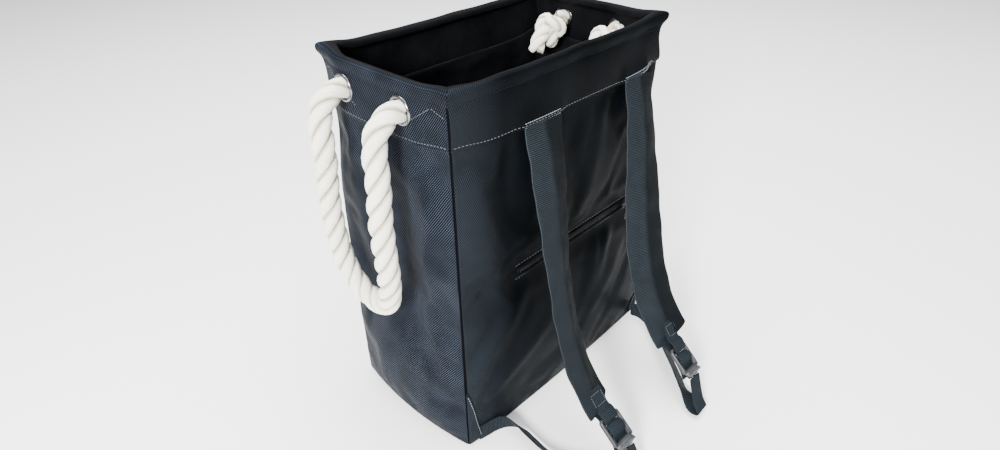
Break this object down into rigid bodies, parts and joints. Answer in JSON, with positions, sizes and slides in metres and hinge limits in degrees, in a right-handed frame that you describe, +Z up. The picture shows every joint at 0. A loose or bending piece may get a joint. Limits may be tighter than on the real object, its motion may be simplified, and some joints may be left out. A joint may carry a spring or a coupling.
{
  "type": "foldable tote bag",
  "caption": "Tall collapsible fabric tote with twisted rope handles, shoulder straps with ladder-locks and a zip pocket on its wide face.",
  "frame": {"origin": "middle of the base panel's underside, where the bag stands", "axes": "+Z up to the rim, +X along the wide face, straps on the -Y side, rope handles at -X and +X"},
  "size_m": [0.4916, 0.3969, 0.465],
  "materials": {
    "bag_fabric": "coated polyester twill, low sheen",
    "lining": "matt",
    "strap_webbing": "ribbed webbing",
    "narrow_webbing": "woven webbing",
    "rope": "three-strand twisted cotton",
    "nickel": "nickel plate",
    "steel_wire": "drawn",
    "board": "matt",
    "lock_plastic": "fine moulded texture",
    "zip_parts": "black enamel",
    "zip_tape": "knitted tape"
  },
  "bodies": {
    "bag": {"front_band": "bag_fabric", "back_band": "bag_fabric", "left_band": "bag_fabric", "right_band": "bag_fabric", "front_panel": "bag_fabric", "back_panel": "bag_fabric", "left_gusset": "bag_fabric", "right_gusset": "bag_fabric", "rim_wire": "steel_wire", "wire_ferrule": "steel_wire", "pocket_pouch": "lining", "left_front_grommet": "nickel", "left_front_washer": "nickel", "left_front_rope_end": "rope", "left_back_grommet": "nickel", "left_back_washer": "nickel", "left_back_rope_end": "rope", "left_lower_webbing_floor": "narrow_webbing", "right_front_grommet": "nickel", "right_front_washer": "nickel", "right_front_rope_end": "rope", "right_back_grommet": "nickel", "right_back_washer": "nickel", "right_back_rope_end": "rope", "right_lower_webbing_floor": "narrow_webbing"},
    "base": {"base_panel": "bag_fabric", "base_board": "board", "left_corner_tab": "bag_fabric", "right_corner_tab": "bag_fabric"},
    "zipper": {"zipper_tape": "zip_tape", "zipper_coil": "zip_parts"},
    "slider": {"zip_slider": "zip_parts"},
    "pull": {"zip_pull": "zip_parts"},
    "left_handle": {"left_rope_handle": "rope"},
    "right_handle": {"right_rope_handle": "rope"},
    "left_strap": {"left_shoulder_strap": "strap_webbing", "left_lock_carrier": "narrow_webbing", "left_lower_webbing_front": "narrow_webbing"},
    "left_lock": {"left_ladder_lock": "lock_plastic", "left_webbing_tail": "narrow_webbing"},
    "right_strap": {"right_shoulder_strap": "strap_webbing", "right_lock_carrier": "narrow_webbing", "right_lower_webbing_front": "narrow_webbing"},
    "right_lock": {"right_ladder_lock": "lock_plastic", "right_webbing_tail": "narrow_webbing"}
  },
  "joints": [
    {"name": "base_collapse", "type": "slide", "parent": "bag", "child": "base", "axis": [0, 0, 1], "range_m": [0, 0.28], "deforming": ["front_panel", "back_panel", "left_gusset", "right_gusset", "pocket_pouch"]},
    {"name": "zipper_rise", "type": "slide", "parent": "bag", "child": "zipper", "axis": [0, 0, 1], "range_m": [0, 0.126]},
    {"name": "zip_slide", "type": "slide", "parent": "zipper", "child": "slider", "axis": [1, 0, 0], "range_m": [-0.195, 0]},
    {"name": "zip_pull_flip", "type": "hinge", "parent": "slider", "child": "pull", "pos_m": [0.113, -0.1129, 0.225], "axis": [-1, 0, 0], "range_deg": [0, 170]},
    {"name": "left_handle_swing", "type": "hinge", "parent": "bag", "child": "left_handle", "pos_m": [-0.217, 0, 0.437], "axis": [0, 1, 0], "range_deg": [0, 165]},
    {"name": "right_handle_swing", "type": "hinge", "parent": "bag", "child": "right_handle", "pos_m": [0.217, 0, 0.437], "axis": [0, -1, 0], "range_deg": [0, 165]},
    {"name": "left_strap_swing", "type": "hinge", "parent": "bag", "child": "left_strap", "pos_m": [-0.058, -0.1085, 0.4015], "axis": [-1, 0, 0], "range_deg": [0, 30]},
    {"name": "left_lock_tilt", "type": "hinge", "parent": "left_strap", "child": "left_lock", "pos_m": [-0.07562, -0.2325, 0.06536], "axis": [-0.9986, 0, 0.0523], "range_deg": [-6, 8]},
    {"name": "right_strap_swing", "type": "hinge", "parent": "bag", "child": "right_strap", "pos_m": [0.118, -0.1085, 0.4015], "axis": [-1, 0, 0], "range_deg": [0, 30]},
    {"name": "right_lock_tilt", "type": "hinge", "parent": "right_strap", "child": "right_lock", "pos_m": [0.0799, -0.2325, 0.06706], "axis": [-0.9936, 0, 0.1132], "range_deg": [-6, 8]}
  ],
  "couplings": [
    {"joint": "zipper_rise", "follows": "base_collapse", "ratio": 0.444}
  ]
}
